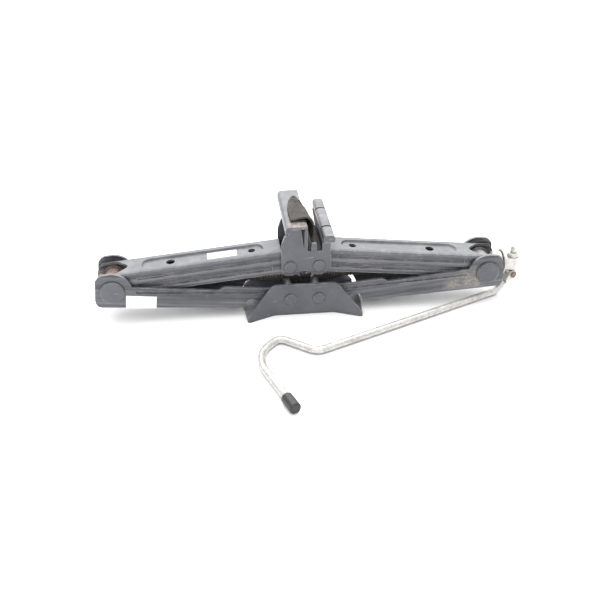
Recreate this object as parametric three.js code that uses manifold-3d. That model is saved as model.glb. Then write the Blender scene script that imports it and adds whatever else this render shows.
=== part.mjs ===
// Scissor jack, folded down, with a folding cranked handle. Millimetres, +X along the jack, +Z up.
// The origin is on the underside of the base plate, midway between the two base pins.
import * as THREE from 'three';
import { mergeVertices } from 'three/addons/utils/BufferGeometryUtils.js';
import Module from 'manifold-3d';

// Linkage
const ARM_LENGTH = 178;                       // pivot to pivot, all four arms
const CLOSED_ANGLE = THREE.MathUtils.degToRad(5.8);
const HALF_PIN_SPACING = 14.5;                // half the distance between a pair of pins
const BASE_PIN_Z = 18.5;
const ARM_RUN = ARM_LENGTH * Math.cos(CLOSED_ANGLE);
const ARM_RISE = ARM_LENGTH * Math.sin(CLOSED_ANGLE);
const TRUNNION_X = HALF_PIN_SPACING + ARM_RUN;
const TRUNNION_Z = BASE_PIN_Z + ARM_RISE;
const HEAD_PIN_Z = BASE_PIN_Z + 2 * ARM_RISE;
const GAP = 0.3;                              // clearance between pieces that bear on each other
const BIG = 400;                              // longer than any piece, for half-space cuts

// Lower arms: channels open upwards
const LOWER_HALF_WIDTH = 20.8;
const LOWER_SHEET = 2.8;
const LOWER_EAR_RADIUS = 20;
const EAR_FLAT = 16.6;                        // the ears' flat outer side, from the pivot
const LOWER_WEB_AT_EAR = -20;                 // underside of the web, from the pivot line
const LOWER_WEB_AT_END = -15.2;
const LOWER_WEB_END = 131;                    // the web and lower band stop here, from the outer pivot
const LOWER_TOP_EDGE = 5.7;
const LOWER_RAISED_EDGE = 10;
const LOWER_STEP_START = 105;
const LOWER_GROOVE = { low: 18.2, high: 21.2, depth: 1.4 };

// Upper arms: channels open downwards
const UPPER_HALF_WIDTH = 16.7;
const UPPER_SHEET = 2.6;
const UPPER_EAR_RADIUS = 17;
const UPPER_WEB_TOP = 15.5;
const UPPER_FLANGE_BOTTOM = -8;
const UPPER_WEB_END = 171;
const UPPER_RIBS = {
  start: 26, end: 160,
  grooves: [{ low: 7.0, high: 10.2, depth: 1.1 }, { low: -3.4, high: 2.6, depth: 1.5 }] };
const POCKET = { start: 31, end: 154, halfWidth: 9.2, depth: 1.9, wall: 1.6 };
const WEB_HOLES = [{ u: 60, radius: 4.6 }, { u: 142, radius: 3.8 }];
const WEB_NOTCH = { apex: 20, mouth: 5, halfWidth: 13.2 };

// Gear sectors at the arms' inner ends
const TEETH_PER_TURN = 14;
const GEAR_TIP = 16.2;
const HUB_RADIUS = 12.4;
const TOOTH = { root: THREE.MathUtils.degToRad(6.3), tip: THREE.MathUtils.degToRad(2.7) };

// Base plate
const BASE = { sheet: 2.6, inner: 21.4, height: 35.5, topX: 33.5, bendX: 31, tipX: 59, tipY: 36, tipZ: 5 };

// Head and saddle
const HEAD = { inner: 17.5, sheet: 2.9, left: -23.5, right: 26.5, bottom: 49, rear: 66.5 };
const SLOT = { left: 2.5, right: 17.5, floor: 70.9, wall: 2.5 };
const PAD = { left: -19.5, top: 98.7, sheet: 2.8, flangeBottom: 91 };
const RIDGE = { left: 18.6, right: 30.2, bottom: 80, top: 87.6 };
const RIDGE_GROOVES = [0, 42];
const PLATE_TOP = PAD.top - PAD.sheet - GAP;
const COLUMN_RIGHT = 25.5;

// Pins, trunnions and screw
const RIVET = { shank: 4.6, head: 6.2, proud: 1.6 };
const TRUNNION = { journal: 8, head: 12, headThick: 2.6, barrel: 9.8, barrelHalf: 12.4, boreRadius: 7.1 };
const WASHER = { inner: 8.3, outer: 11.4, thick: 1.1 };
const SCREW_RADIUS = 6.3;
const SCREW_LEFT = -TRUNNION_X - 15.5;
const BEARING = { start: TRUNNION_X + 10.4, end: TRUNNION_X + 20.4, radius: 11.2 };
const THRUST_DISC = { thick: 1.6, radius: 13.5 };

// Swivel and crank
const SWIVEL_X = 225;
const EYE = { halfWidth: 6.6, halfHeight: 6.2, start: BEARING.end + 3 };
const KINGPIN = { radius: 3.2, top: TRUNNION_Z + 18.5 };
const DROOP_Z = 22;
const LUG = { radius: 5, halfThick: 2.4 };
const FORK = { thick: 2.3, radius: 5.4 };
const FORK_REACH = 10.3;                      // where the rod starts, from the droop pin
const ROD_RADIUS = 3.8;
const ROD_Z = 4;
const CRANK_HEADING = THREE.MathUtils.degToRad(23.4);  // from -X towards -Y
const NECK_SLOPE = THREE.MathUtils.degToRad(50);
const HOOK = [
  [3.2, -96.2, 8], [-31, -70, 9.5], [-50, -90.5, 11.5], [-51.5, -113, 10.5], [-28.5, -178.5, 0, 5.8]];
const CAP = { radius: 5.6, length: 19 };

const wasm = await Module();
wasm.setup();

// ---- helpers ----

function solid(geometry) {
  const bare = geometry.clone();
  bare.deleteAttribute('normal');
  bare.deleteAttribute('uv');
  const merged = mergeVertices(bare, 1e-4);
  const vertProperties = new Float32Array(merged.attributes.position.array);
  const triVerts = new Uint32Array(merged.index.array);
  return new wasm.Manifold(new wasm.Mesh({ numProp: 3, vertProperties, triVerts }));
}

function union(solids) {
  return solids.reduce((sum, next) => sum.add(next));
}

// An outline from corners [x, y, fillet radius].
function outline(corners) {
  const shape = new THREE.Shape();
  corners.forEach(([x, y, radius = 0], i) => {
    const corner = new THREE.Vector2(x, y);
    const before = new THREE.Vector2(...corners.at(i - 1));
    const after = new THREE.Vector2(...corners[(i + 1) % corners.length]);
    const start = corner.clone().add(before.sub(corner).setLength(radius));
    const end = corner.clone().add(after.sub(corner).setLength(radius));
    if (i === 0) shape.moveTo(start.x, start.y);
    else shape.lineTo(start.x, start.y);
    if (radius > 0) shape.quadraticCurveTo(x, y, end.x, end.y);
  });
  shape.closePath();
  return shape;
}

function prism(shape, low, high, axes, curveSegments = 4) {
  const settings = { depth: high - low, bevelEnabled: false, curveSegments };
  const geometry = new THREE.ExtrudeGeometry(shape, settings);
  geometry.translate(0, 0, low);
  geometry.applyMatrix4(new THREE.Matrix4().makeBasis(...axes));
  return solid(geometry);
}

const X = new THREE.Vector3(1, 0, 0);
const Y = new THREE.Vector3(0, 1, 0);
const Z = new THREE.Vector3(0, 0, 1);
const NEG_Y = new THREE.Vector3(0, -1, 0);
// Outlines in (x, z), (y, z) and (x, y), pushed along Y, X and Z.
const prismY = (shape, low, high, segments) => prism(shape, -high, -low, [X, Z, NEG_Y], segments);
const prismX = (shape, low, high, segments) => prism(shape, low, high, [Y, Z, X], segments);
const prismZ = (shape, low, high, segments) => prism(shape, low, high, [X, Y, Z], segments);

function box(x0, x1, y0, y1, z0, z1) {
  const geometry = new THREE.BoxGeometry(x1 - x0, y1 - y0, z1 - z0);
  geometry.translate((x0 + x1) / 2, (y0 + y1) / 2, (z0 + z1) / 2);
  return solid(geometry);
}

// A turned solid about the Y axis through (x, z), from [radius, y] pairs.
function turnedY(profile, x, z, segments = 24) {
  const geometry = new THREE.LatheGeometry(profile.map((p) => new THREE.Vector2(...p)), segments);
  geometry.translate(x, 0, z);
  return solid(geometry);
}

// A turned solid about the screw's axis, from [radius, x] pairs.
function turnedX(profile, segments = 24) {
  const geometry = new THREE.LatheGeometry(profile.map((p) => new THREE.Vector2(...p)), segments);
  geometry.rotateZ(-Math.PI / 2);
  geometry.translate(0, 0, TRUNNION_Z);
  return solid(geometry);
}

// A turned solid about the vertical axis through (x, 0), from [radius, z] pairs.
function turnedZ(profile, x, segments = 20) {
  const geometry = new THREE.LatheGeometry(profile.map((p) => new THREE.Vector2(...p)), segments);
  geometry.rotateX(Math.PI / 2);
  geometry.translate(x, 0, 0);
  return solid(geometry);
}

const rodY = (radius, x, z, y0, y1, segments) =>
  turnedY([[0, y0], [radius, y0], [radius, y1], [0, y1]], x, z, segments);
const rodX = (radius, x0, x1, segments) =>
  turnedX([[0, x0], [radius, x0], [radius, x1], [0, x1]], segments);

const PAINT = { color: 0x2b2b2f, roughness: 0.45, metalness: 0.3 };
const STEEL = { color: 0x9a958c, roughness: 0.4, metalness: 0.9 };
const RUSTY = { color: 0x5a4038, roughness: 0.8, metalness: 0.5 };
const RUBBER = { color: 0x3c3733, roughness: 0.9, metalness: 0 };
const PLASTIC = { color: 0x1b1b1d, roughness: 0.6, metalness: 0 };
const PAPER = { color: 0xf2f2ee, roughness: 0.7, metalness: 0 };

const jack = new THREE.Group();

function addPiece(name, body, finish, parent = jack) {
  const { vertProperties, triVerts } = body.getMesh();
  const geometry = new THREE.BufferGeometry();
  geometry.setAttribute('position', new THREE.BufferAttribute(vertProperties, 3));
  geometry.setIndex(new THREE.BufferAttribute(triVerts, 1));
  geometry.computeVertexNormals();
  const mesh = new THREE.Mesh(geometry, new THREE.MeshStandardMaterial(finish));
  mesh.name = name;
  parent.add(mesh);
  return mesh;
}

// ---- arms, drawn from the outer pivot (0, 0) to the inner pivot (ARM_LENGTH, 0) ----

// Gear teeth about the inner pivot. turn is +1 where the arm meets its twin above its own line.
function gearTeeth(halfWidth, turn, offset) {
  const pitch = (2 * Math.PI) / TEETH_PER_TURN;
  const teeth = [-1, 0, 1, 2].map((n) => {
    const middle = turn * (CLOSED_ANGLE + (n + offset) * pitch);
    const point = (radius, angle) => [
      ARM_LENGTH + radius * Math.cos(middle + angle), radius * Math.sin(middle + angle)];
    const corners = [
      point(HUB_RADIUS - 2, -TOOTH.root), point(HUB_RADIUS, -TOOTH.root), point(GEAR_TIP, -TOOTH.tip),
      point(GEAR_TIP, TOOTH.tip), point(HUB_RADIUS, TOOTH.root), point(HUB_RADIUS - 2, TOOTH.root)];
    return prismY(outline(corners), -halfWidth, halfWidth);
  });
  return union(teeth);
}

// A channel's cross-section: a web at z = 0 and flanges up to height, with grooves pressed
// inwards along each flange. The sheet bulges inside behind a groove. Grooves run outwards
// from the web.
function channelSection(halfWidth, sheet, height, bend, grooves) {
  const inner = halfWidth - sheet;
  const outside = [[halfWidth, 0, bend]];
  const inside = [];
  for (const { low, high, depth } of grooves) {
    const floor = halfWidth - depth;
    const bulge = inner - depth * 0.6;
    outside.push([halfWidth, low], [floor, low + 0.7], [floor, high - 0.7], [halfWidth, high]);
    inside.unshift([inner, high + 0.4], [bulge, high - 0.6], [bulge, low + 0.6], [inner, low - 0.4]);
  }
  outside.push([halfWidth, height]);
  const right = [...outside, [inner, height], ...inside, [inner, sheet, bend - sheet + 1]];
  const left = right.map(([y, z, radius]) => [-y, z, radius]).reverse();
  return outline([...right, ...left]);
}

function lowerArm(offset) {
  const slope = Math.atan2(LOWER_WEB_AT_END - LOWER_WEB_AT_EAR, LOWER_WEB_END);
  const channel = (grooves, from, to) => {
    const section = channelSection(LOWER_HALF_WIDTH, LOWER_SHEET, 44, 5, grooves);
    return prismX(section, from, to, 3);
  };
  const flat = channel([], -30, 23).add(channel([], 150, 200));
  const straight = flat.add(channel([LOWER_GROOVE], 22.99, 150.01));
  const tilted = straight.rotate([0, -THREE.MathUtils.radToDeg(slope), 0]);
  const formed = tilted.translate([0, 0, LOWER_WEB_AT_EAR]);
  const half = LOWER_HALF_WIDTH + 1;
  const earFlat = box(-EAR_FLAT, BIG, -half, half, -BIG, BIG);
  const earEnd = outline([
    [-EAR_FLAT, LOWER_WEB_AT_EAR - 0.5, 12], [6, LOWER_WEB_AT_EAR - 0.5], [6, LOWER_EAR_RADIUS - 1],
    [-EAR_FLAT, LOWER_EAR_RADIUS - 1, 12]]);
  const ear = rodY(LOWER_EAR_RADIUS, 0, 0, -half, half, 60).intersect(earFlat)
    .add(prismY(earEnd, -half, half));
  const bar = outline([
    [0, LOWER_WEB_AT_EAR - 1], [LOWER_WEB_END, LOWER_WEB_AT_END - 1, 3],
    [LOWER_WEB_END + 5, -2.5, 3], [ARM_LENGTH, -8], [ARM_LENGTH, LOWER_RAISED_EDGE],
    [LOWER_STEP_START + 5, LOWER_RAISED_EDGE, 3], [LOWER_STEP_START, LOWER_TOP_EDGE, 2],
    [0, LOWER_TOP_EDGE]]);
  const hub = rodY(HUB_RADIUS, ARM_LENGTH, 0, -half, half, 24);
  const side = union([ear, prismY(bar, -half, half), hub, gearTeeth(half, 1, offset)]);
  const between = outline([
    [-BIG, -LOWER_HALF_WIDTH + LOWER_SHEET], [14, -LOWER_HALF_WIDTH + LOWER_SHEET, 6],
    [24, -8, 5], [24, 8, 5], [14, LOWER_HALF_WIDTH - LOWER_SHEET, 6],
    [-BIG, LOWER_HALF_WIDTH - LOWER_SHEET]]);
  return formed.intersect(side)
    .subtract(prismZ(between, -BIG, 0, 4))
    .subtract(rodY(TRUNNION.journal + GAP, 0, 0, -half, half))
    .subtract(rodY(RIVET.shank + GAP, ARM_LENGTH, 0, -half, half, 20));
}

function upperArm(offset) {
  const { start, end, grooves } = UPPER_RIBS;
  const fromWeb = grooves.map(({ low, high, depth }) => (
    { low: UPPER_WEB_TOP - high, high: UPPER_WEB_TOP - low, depth }));
  const channel = (pressed, from, to) => {
    const section = channelSection(UPPER_HALF_WIDTH, UPPER_SHEET, 40, 4.5, pressed);
    return prismX(section, from, to, 3);
  };
  const straight = union([
    channel([], -30, start), channel(fromWeb, start - 0.01, end + 0.01), channel([], end, 210)]);
  const formed = straight.rotate([180, 0, 0]).translate([0, 0, UPPER_WEB_TOP]);
  const half = UPPER_HALF_WIDTH + 1;
  const ear = rodY(UPPER_EAR_RADIUS, 0, 0, -half, half, 32);
  const bar = outline([
    [0, UPPER_FLANGE_BOTTOM], [ARM_LENGTH, UPPER_FLANGE_BOTTOM], [ARM_LENGTH, HUB_RADIUS - 1],
    [UPPER_WEB_END, UPPER_WEB_TOP + 1, 4], [5, UPPER_WEB_TOP + 1]]);
  const hub = rodY(HUB_RADIUS, ARM_LENGTH, 0, -half, half, 24);
  const side = union([ear, prismY(bar, -half, half), hub, gearTeeth(half, -1, offset)]);
  const notch = outline([
    [-BIG, -WEB_NOTCH.halfWidth], [WEB_NOTCH.mouth, -WEB_NOTCH.halfWidth, 4],
    [WEB_NOTCH.apex, 0, 7], [WEB_NOTCH.mouth, WEB_NOTCH.halfWidth, 4], [-BIG, WEB_NOTCH.halfWidth]]);
  const inner = UPPER_HALF_WIDTH - UPPER_SHEET;
  let arm = formed.intersect(side)
    .subtract(prismZ(notch, 0, BIG, 6))
    .subtract(box(UPPER_WEB_END, BIG, -inner, inner, -BIG, BIG))
    .add(pocketTool(1, UPPER_SHEET - 0.6))
    .subtract(pocketTool(0, 0))
    .subtract(rodY(TRUNNION.journal + GAP, 0, 0, -half, half))
    .subtract(rodY(RIVET.shank + GAP, ARM_LENGTH, 0, -half, half, 20));
  for (const { u, radius } of WEB_HOLES) {
    arm = arm.subtract(turnedZ([[0, 5], [radius, 5], [radius, 30], [0, 30]], u, 20));
  }
  return arm;
}

// The hollow of the long pocket pressed down into an upper arm's web: round ends and a
// sloped wall. It is grown and lowered for the bulge that it makes under the web.
function pocketTool(grown, lowered) {
  const { start, end, halfWidth, depth, wall } = POCKET;
  const radius = halfWidth - wall + grown;
  const shape = new THREE.Shape();
  shape.absarc(end - halfWidth, 0, radius, -Math.PI / 2, Math.PI / 2);
  shape.absarc(start + halfWidth, 0, radius, Math.PI / 2, (3 * Math.PI) / 2);
  const geometry = new THREE.ExtrudeGeometry(shape, {
    depth: 4, bevelEnabled: true, bevelThickness: depth, bevelSize: wall, bevelSegments: 1,
    curveSegments: 6 });
  geometry.translate(0, 0, UPPER_WEB_TOP - lowered);
  const above = box(0, BIG, -BIG, BIG, UPPER_WEB_TOP - lowered, BIG);
  return lowered > 0 ? solid(geometry).subtract(above) : solid(geometry);
}

function placeArm(mesh, side, above) {
  const tilt = CLOSED_ANGLE * (above ? 1 : -1) * side;
  mesh.position.set(side * TRUNNION_X, 0, TRUNNION_Z);
  mesh.rotation.set(0, tilt, side > 0 ? Math.PI : 0);
}

for (const [word, side, offset] of [['left', -1, 0], ['right', 1, 0.5]]) {
  placeArm(addPiece(`lower_arm_${word}`, lowerArm(offset), PAINT), side, false);
  placeArm(addPiece(`upper_arm_${word}`, upperArm(offset), PAINT), side, true);
}

// ---- base ----

function basePlate() {
  const { sheet, inner, height, topX, bendX, tipX, tipY, tipZ } = BASE;
  const planform = (y, flaredY, x, bulge) => outline([
    [-bendX, -y, 3], [bendX, -y, 3], [x, -flaredY, 3.5], [x + bulge, 0], [x, flaredY, 3.5],
    [bendX, y, 3], [-bendX, y, 3], [-x, flaredY, 3.5], [-x - bulge, 0], [-x, -flaredY, 3.5]]);
  const blank = prismZ(planform(inner + sheet, tipY, tipX, 3), 0, height, 3);
  const hollow = prismZ(planform(inner, tipY - sheet, tipX + 1, 12), sheet, height + 10, 3);
  const profile = outline([
    [-tipX - 4, 0], [tipX + 4, 0], [tipX + 4, 1], [tipX, tipZ, 3], [topX, height, 4],
    [-topX, height, 4], [-tipX, tipZ, 3], [-tipX - 4, 1]]);
  let plate = blank.subtract(hollow).intersect(prismY(profile, -60, 60));
  for (const x of [-HALF_PIN_SPACING, HALF_PIN_SPACING]) {
    plate = plate.subtract(rodY(RIVET.shank + GAP, x, BASE_PIN_Z, -60, 60, 20));
  }
  return plate;
}
addPiece('base_plate', basePlate(), PAINT);

// A rivet along Y with a chamfered head on each side of a stack of this half-width.
function rivet(halfWidth, x, z) {
  const { shank, head, proud } = RIVET;
  const y = halfWidth + GAP;
  const half = [[shank, y], [head, y], [head, y + proud - 0.7], [head - 0.9, y + proud], [0, y + proud]];
  const mirrored = half.map(([r, v]) => [r, -v]).reverse();
  return turnedY([...mirrored, ...half], x, z, 20);
}
for (const [word, side] of [['left', -1], ['right', 1]]) {
  const x = side * HALF_PIN_SPACING;
  addPiece(`base_pin_${word}`, rivet(BASE.inner + BASE.sheet, x, BASE_PIN_Z), PAINT);
  addPiece(`head_pin_${word}`, rivet(HEAD.inner + HEAD.sheet, x, HEAD_PIN_Z), PAINT);
}

// ---- trunnions and washers ----

function trunnion(x) {
  const { journal, head, headThick, barrel, barrelHalf, boreRadius } = TRUNNION;
  const face = LOWER_HALF_WIDTH + GAP;
  const half = [
    [barrel, 0], [barrel, 6.5], [barrel - 0.9, 7.2], [barrel - 0.9, barrelHalf], [journal, barrelHalf],
    [journal, face], [head, face], [head, face + headThick - 0.9],
    [head - 1.4, face + headThick], [0, face + headThick]];
  const mirrored = half.slice(1).map(([r, y]) => [r, -y]).reverse();
  const body = turnedY([...mirrored, ...half], x, TRUNNION_Z, 24);
  return body.subtract(rodX(boreRadius, x - 20, x + 20));
}

function washer(x, side) {
  const { inner, outer, thick } = WASHER;
  const start = TRUNNION.barrelHalf + GAP;
  const profile = [[inner, start], [outer, start], [outer, start + thick], [inner, start + thick],
    [inner, start]].map(([r, y]) => [r, side * y]);
  if (side < 0) profile.reverse();
  return turnedY(profile, x, TRUNNION_Z, 20);
}

for (const [word, side, finish] of [['left', -1, RUSTY], ['right', 1, STEEL]]) {
  const x = side * TRUNNION_X;
  addPiece(`trunnion_${word}`, trunnion(x), finish);
  addPiece(`washer_${word}_front`, washer(x, -1), finish);
  addPiece(`washer_${word}_rear`, washer(x, 1), finish);
}

// ---- head and saddle ----

function headBracket() {
  const { inner, sheet, left, right, bottom, rear } = HEAD;
  const frontEdge = [
    [left, bottom, 2], [right, bottom, 3], [right, 68, 2], [COLUMN_RIGHT, 72],
    [COLUMN_RIGHT, RIDGE.bottom - GAP],
    [SLOT.right, RIDGE.bottom - GAP], [SLOT.right, SLOT.floor, 2], [SLOT.left, SLOT.floor, 2],
    [SLOT.left, PLATE_TOP]];
  const padInside = PAD.left + PAD.sheet + GAP;
  const plate = outline([
    ...frontEdge, [padInside, PLATE_TOP, 3.2], [padInside, PAD.flangeBottom - 0.8],
    [PAD.left - 0.5, PAD.flangeBottom - 2, 1], [left, 79, 4]]);
  const floorZ = SLOT.floor - SLOT.wall;
  const slotFloor = box(
    SLOT.left - SLOT.wall, SLOT.right + SLOT.wall, -inner - 1, rear - 2, floorZ, SLOT.floor);
  const leftWall = box(SLOT.left - SLOT.wall, SLOT.left, -inner - 1, rear - 2, floorZ, PLATE_TOP);
  const rightWall = box(
    SLOT.right, SLOT.right + SLOT.wall, -inner - 1, rear - 2, floorZ, RIDGE.bottom - GAP);
  const belly = outline([[inner + 4, 60], [rear + 5, 60], [rear + 5, 84], [inner + 8, floorZ - 1]]);
  const slit = outline([[-4.2, PLATE_TOP + 1], [-0.4, PLATE_TOP + 1], [-0.6, 76], [-1.2, 76]]);
  return union([slotFloor, leftWall, rightWall])
    .subtract(prismX(belly, -50, 50))
    .add(prismY(plate, -inner - sheet, -inner))
    .add(prismY(plate, inner, inner + sheet))
    .subtract(prismY(slit, -inner - sheet - 1, -inner + 1))
    .subtract(prismY(padSection(GAP), -60, 60))
    .subtract(rodY(RIVET.shank + GAP, -HALF_PIN_SPACING, HEAD_PIN_Z, -60, 60, 20))
    .subtract(rodY(RIVET.shank + GAP, HALF_PIN_SPACING, HEAD_PIN_Z, -60, 60, 20));
}

// The pad's section, grown all round by a clearance when it is used as a cutter.
function padSection(grow) {
  const { left, top, sheet, flangeBottom } = PAD;
  const innerLeft = left + sheet + grow;
  return outline([
    [left - grow, flangeBottom - grow], [left - grow, top + grow, 5.5], [SLOT.left + grow, top + grow, 1],
    [SLOT.left + grow, top - sheet - grow], [innerLeft, top - sheet - grow, 3],
    [innerLeft, flangeBottom - grow]]);
}

function saddlePad() {
  const { left } = PAD;
  const front = -HEAD.inner - HEAD.sheet;
  const plan = outline([
    [left - 1, front], [SLOT.left + 1, front], [SLOT.left + 1, HEAD.rear, 2], [left - 1, HEAD.rear, 6]]);
  return prismY(padSection(0), front, HEAD.rear, 5).intersect(prismZ(plan, 80, 110));
}

function saddleRidge() {
  const { left, right, bottom, top } = RIDGE;
  const section = outline([[left, bottom], [right, bottom, 1], [right, top, 4.4], [left, top, 4.4]]);
  let rail = prismY(section, -HEAD.inner - HEAD.sheet, HEAD.rear, 6);
  for (const y of RIDGE_GROOVES) {
    rail = rail.subtract(box(left - 1, right + 1, y, y + 2.6, top - 5, top + 1));
  }
  return rail;
}

function slotTab() {
  const front = -HEAD.inner - HEAD.sheet;
  const shape = outline([
    [6.4, SLOT.floor + GAP], [12, SLOT.floor + GAP], [11.6, 80, 1.2], [6.6, 80, 1.2]]);
  return prismY(shape, front, front + 2.6);
}

// The rubber sheet lies on the pad and hangs over its edge into the slot.
function rubberSheet() {
  const z = PAD.top + GAP;
  const x = SLOT.left + GAP;
  const section = outline([
    [-13, z], [x, z], [x, 84], [x + 2.2, 84], [x + 2.2, z + 2.2, 2], [-13, z + 2.2, 1]]);
  return prismY(section, 2, 42);
}
addPiece('head_bracket', headBracket(), PAINT);
addPiece('saddle_pad', saddlePad(), PAINT);
addPiece('saddle_ridge', saddleRidge(), PAINT);
addPiece('slot_tab', slotTab(), PAINT);
addPiece('rubber_sheet', rubberSheet(), RUBBER);

// ---- lead screw, thrust parts and swivel ----

addPiece('lead_screw', rodX(SCREW_RADIUS, SCREW_LEFT, EYE.start - GAP, 20), STEEL);
addPiece('screw_eye', swivelEye(), STEEL);

// The flattened end of the screw, bored upright for the kingpin.
function swivelEye() {
  const { halfWidth, halfHeight, start } = EYE;
  const plan = new THREE.Shape();
  plan.moveTo(start, -halfWidth);
  plan.lineTo(SWIVEL_X, -halfWidth);
  plan.absarc(SWIVEL_X, 0, halfWidth, -Math.PI / 2, Math.PI / 2);
  plan.lineTo(start, halfWidth);
  plan.closePath();
  const block = prismZ(plan, TRUNNION_Z - halfHeight, TRUNNION_Z + halfHeight, 8);
  const { radius } = KINGPIN;
  return block.subtract(turnedZ([[0, 0], [radius + GAP, 0], [radius + GAP, 80], [0, 80]], SWIVEL_X));
}

function hexNut() {
  const corners = [...Array(6).keys()].map((n) => (
    [8.6 * Math.cos(n * Math.PI / 3), 8.6 * Math.sin(n * Math.PI / 3)]));
  const body = prismX(outline(corners), SCREW_LEFT + 1.2, SCREW_LEFT + 5.2).translate([0, 0, TRUNNION_Z]);
  return body.subtract(rodX(SCREW_RADIUS + GAP, SCREW_LEFT - 2, SCREW_LEFT + 12, 20));
}
addPiece('screw_end_nut', hexNut(), RUSTY);

function ringX(inner, outer, x0, x1, chamfer) {
  return turnedX([
    [inner, x0], [outer - chamfer, x0], [outer, x0 + chamfer], [outer, x1 - chamfer],
    [outer - chamfer, x1], [inner, x1], [inner, x0]], 24);
}
const clear = SCREW_RADIUS + GAP;
addPiece('thrust_bearing', ringX(clear, BEARING.radius, BEARING.start, BEARING.end, 1), STEEL);
addPiece('thrust_disc', ringX(clear, THRUST_DISC.radius, BEARING.end + GAP,
  BEARING.end + GAP + THRUST_DISC.thick, 0.3), STEEL);

// The kingpin: a shank through the screw's eye, with a lug below for the crank.
const HEADING = new THREE.Vector3(-Math.cos(CRANK_HEADING), -Math.sin(CRANK_HEADING), 0);
const ACROSS = new THREE.Vector3(Math.sin(CRANK_HEADING), -Math.cos(CRANK_HEADING), 0);
// Outlines in (distance along the crank's heading, z), pushed across it.
function prismAcross(shape, low, high, segments = 8) {
  const geometry = new THREE.ExtrudeGeometry(shape, {
    depth: high - low, bevelEnabled: false, curveSegments: segments });
  geometry.translate(0, 0, low);
  const back = ACROSS.clone().negate();
  geometry.applyMatrix4(new THREE.Matrix4().makeBasis(HEADING, Z, back));
  geometry.translate(SWIVEL_X, 0, 0);
  return solid(geometry);
}

function discShape(radius) {
  const shape = new THREE.Shape();
  shape.absarc(0, DROOP_Z, radius, 0, 2 * Math.PI);
  return shape;
}

function kingpin() {
  const { radius, top } = KINGPIN;
  const shoulder = TRUNNION_Z - EYE.halfHeight - GAP;
  const shank = turnedZ([
    [0, DROOP_Z], [LUG.radius, DROOP_Z], [LUG.radius, shoulder], [radius, shoulder],
    [radius, top - 1], [radius - 1, top], [0, top]], SWIVEL_X);
  const slab = outline([
    [-LUG.radius, DROOP_Z], [LUG.radius, DROOP_Z], [LUG.radius, 40], [-LUG.radius, 40]]);
  const cheeks = prismAcross(slab, -20, -LUG.halfThick).add(prismAcross(slab, LUG.halfThick, 20));
  const clearance = cheeks.intersect(box(150, 300, -50, 50, 0, DROOP_Z + FORK.radius + 0.6));
  return shank.subtract(clearance)
    .add(prismAcross(discShape(LUG.radius), -LUG.halfThick, LUG.halfThick))
    .subtract(prismAcross(discShape(2.3), -20, 20));
}
addPiece('kingpin', kingpin(), STEEL);

const nutBottom = TRUNNION_Z + EYE.halfHeight + GAP;
addPiece('kingpin_collar', turnedZ([
  [KINGPIN.radius + GAP, nutBottom], [6, nutBottom], [6, nutBottom + 3], [5.2, nutBottom + 4],
  [KINGPIN.radius + GAP, nutBottom + 4], [KINGPIN.radius + GAP, nutBottom]], SWIVEL_X), STEEL);

// The pin that the crank droops on.
function droopPin() {
  const face = LUG.halfThick + GAP + FORK.thick;
  return prismAcross(discShape(2), -face - 1.4, face + 1.4, 6)
    .add(prismAcross(discShape(3.4), face + GAP, face + 1.6, 6))
    .add(prismAcross(discShape(3.4), -face - 1.6, -face - GAP, 6));
}
addPiece('droop_pin', droopPin(), RUSTY);

// ---- crank ----

// The rod's centre line: the neck slopes down from the fork to the floor, then the rod runs
// flat to the bend, the hook and the grip.
function crankPath() {
  const neckRun = (DROOP_Z - ROD_Z) / Math.tan(NECK_SLOPE);
  const foot = HEADING.clone().multiplyScalar(neckRun);
  const away = HEADING.clone().multiplyScalar(FORK_REACH * Math.cos(NECK_SLOPE));
  const corners = [
    [SWIVEL_X + away.x, away.y, DROOP_Z - FORK_REACH * Math.sin(NECK_SLOPE), 0],
    [SWIVEL_X + foot.x, foot.y, ROD_Z, 8],
    ...HOOK.map(([x, y, radius, z = ROD_Z]) => [x, y, z, radius])];
  const points = corners.map(([x, y, z]) => new THREE.Vector3(x, y, z));
  const path = new THREE.CurvePath();
  let last = points[0];
  for (let i = 1; i < points.length; i += 1) {
    const reach = corners[i][3];
    if (reach === 0) {
      path.add(new THREE.LineCurve3(last, points[i]));
      break;
    }
    const into = points[i - 1].clone().sub(points[i]).setLength(reach).add(points[i]);
    const out = points[i + 1].clone().sub(points[i]).setLength(reach).add(points[i]);
    path.add(new THREE.LineCurve3(last, into));
    path.add(new THREE.QuadraticBezierCurve3(into, points[i], out));
    last = out;
  }
  return path;
}

// A round bar along the path, made as one extrusion.
function roundBar(path, radius, sides, steps) {
  const section = new THREE.Shape();
  section.absarc(0, 0, radius, 0, 2 * Math.PI);
  return solid(new THREE.ExtrudeGeometry(section, { steps, curveSegments: sides / 2, extrudePath: path }));
}

function crankFork() {
  const { thick, radius } = FORK;
  const inner = LUG.halfThick + GAP;
  const neck = [Math.cos(NECK_SLOPE), -Math.sin(NECK_SLOPE)];
  const cheek = new THREE.Shape();
  const turn = Math.PI / 2 - NECK_SLOPE;
  cheek.absarc(0, DROOP_Z, radius, turn, turn + Math.PI);
  cheek.lineTo(10 * neck[0] - radius * 0.7 * Math.sin(NECK_SLOPE),
    DROOP_Z + 10 * neck[1] - radius * 0.7 * Math.cos(NECK_SLOPE));
  cheek.lineTo(10 * neck[0] + radius * 0.7 * Math.sin(NECK_SLOPE),
    DROOP_Z + 10 * neck[1] + radius * 0.7 * Math.cos(NECK_SLOPE));
  cheek.closePath();
  const whole = prismAcross(cheek, -inner - thick, inner + thick);
  const gap = prismAcross(discShape(LUG.radius + 0.8), -inner, inner);
  return whole.subtract(gap).subtract(prismAcross(discShape(2.3), -20, 20));
}

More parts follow.
